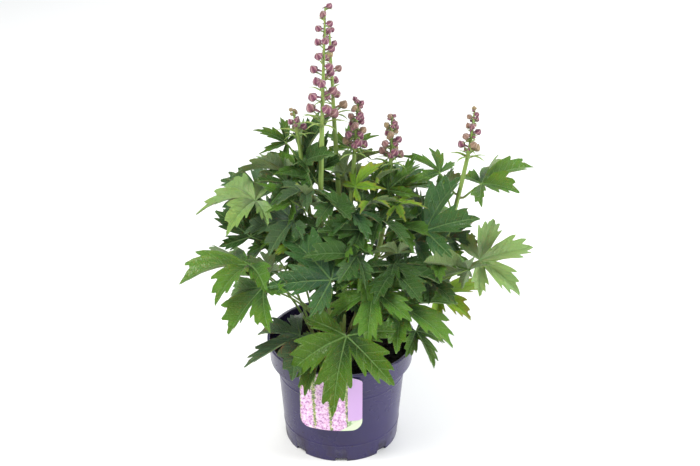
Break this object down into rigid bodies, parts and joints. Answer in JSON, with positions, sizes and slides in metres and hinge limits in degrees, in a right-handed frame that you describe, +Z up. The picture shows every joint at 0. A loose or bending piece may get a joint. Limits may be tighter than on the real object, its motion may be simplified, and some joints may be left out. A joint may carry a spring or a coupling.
{
  "type": "potted delphinium",
  "caption": "Delphinium in bud in a dark violet nursery pot, with lobed green leaves, several budding flower stems and a lilac picture tag.",
  "frame": {"origin": "middle of the pot's flat underside, on the pot's axis", "axes": "+Z up along the pot's axis, -Y towards the front of the pot where the tag hangs, +X to the right seen from the front"},
  "size_m": [0.4386, 0.376, 0.5879],
  "materials": {
    "pot_plastic": "dark violet-blue thermoformed plastic, satin with a soft sheen and fine scuffs",
    "compost": "moist black compost crumbs",
    "tag_card": null,
    "crown": "woody crown with stalk scars",
    "stem": "fresh green ribbed stem with pale hairs",
    "buds": "downy mauve flower buds with pale green ones among them",
    "leaf": "deep green lobed leaf, blue-green at the centre, pale beneath, with fine veins"
  },
  "bodies": {
    "root": {"nursery_pot": "pot_plastic", "compost": "compost", "picture_tag": "tag_card", "root_crown": "crown", "flower_stem_1": "stem", "bud_spike_1": "buds", "flower_stem_2": "stem", "bud_spike_2": "buds", "flower_stem_3": "stem", "bud_spike_3": "buds", "flower_stem_4": "stem", "bud_spike_4": "buds", "flower_stem_5": "stem", "bud_spike_5": "buds", "flower_stem_6": "stem", "bud_spike_6": "buds", "leaf_front_overhang": "leaf", "leaf_rim_left": "leaf", "leaf_left_far": "leaf", "leaf_left_hanging": "leaf", "leaf_left_high": "leaf", "leaf_left_upright": "leaf", "leaf_right_far": "leaf", "leaf_right_far_back": "leaf", "leaf_right_top": "leaf", "leaf_right_low": "leaf", "leaf_right_fan": "leaf", "leaf_middle_fan": "leaf", "leaf_right_yellow": "leaf", "leaf_right_top_left": "leaf", "leaf_left_far_pale": "leaf", "leaf_left_grey": "leaf", "leaf_top_left_outer": "leaf", "leaf_top_right_narrow": "leaf", "leaf_left_yellow": "leaf", "leaf_top_left_upright": "leaf", "leaf_middle_right_hanging": "leaf", "leaf_front_underleaf": "leaf", "leaf_right_low_under": "leaf", "leaf_middle_dark": "leaf", "leaf_middle_left": "leaf", "leaf_middle_pale": "leaf", "leaf_middle_low_right": "leaf", "leaf_right_top_cup": "leaf", "leaf_top_right_pale": "leaf", "leaf_top_behind": "leaf", "leaf_top_left_narrow": "leaf", "leaf_left_small": "leaf", "leaf_left_pale": "leaf", "leaf_back_right_low": "leaf", "leaf_back_right_middle": "leaf", "leaf_back_right_high": "leaf", "leaf_back_middle": "leaf", "leaf_back_high": "leaf", "leaf_back_low": "leaf", "leaf_back_left_middle": "leaf", "leaf_back_left_low": "leaf", "leaf_back_left_high": "leaf", "leaf_back_top": "leaf"}
  },
  "joints": []
}
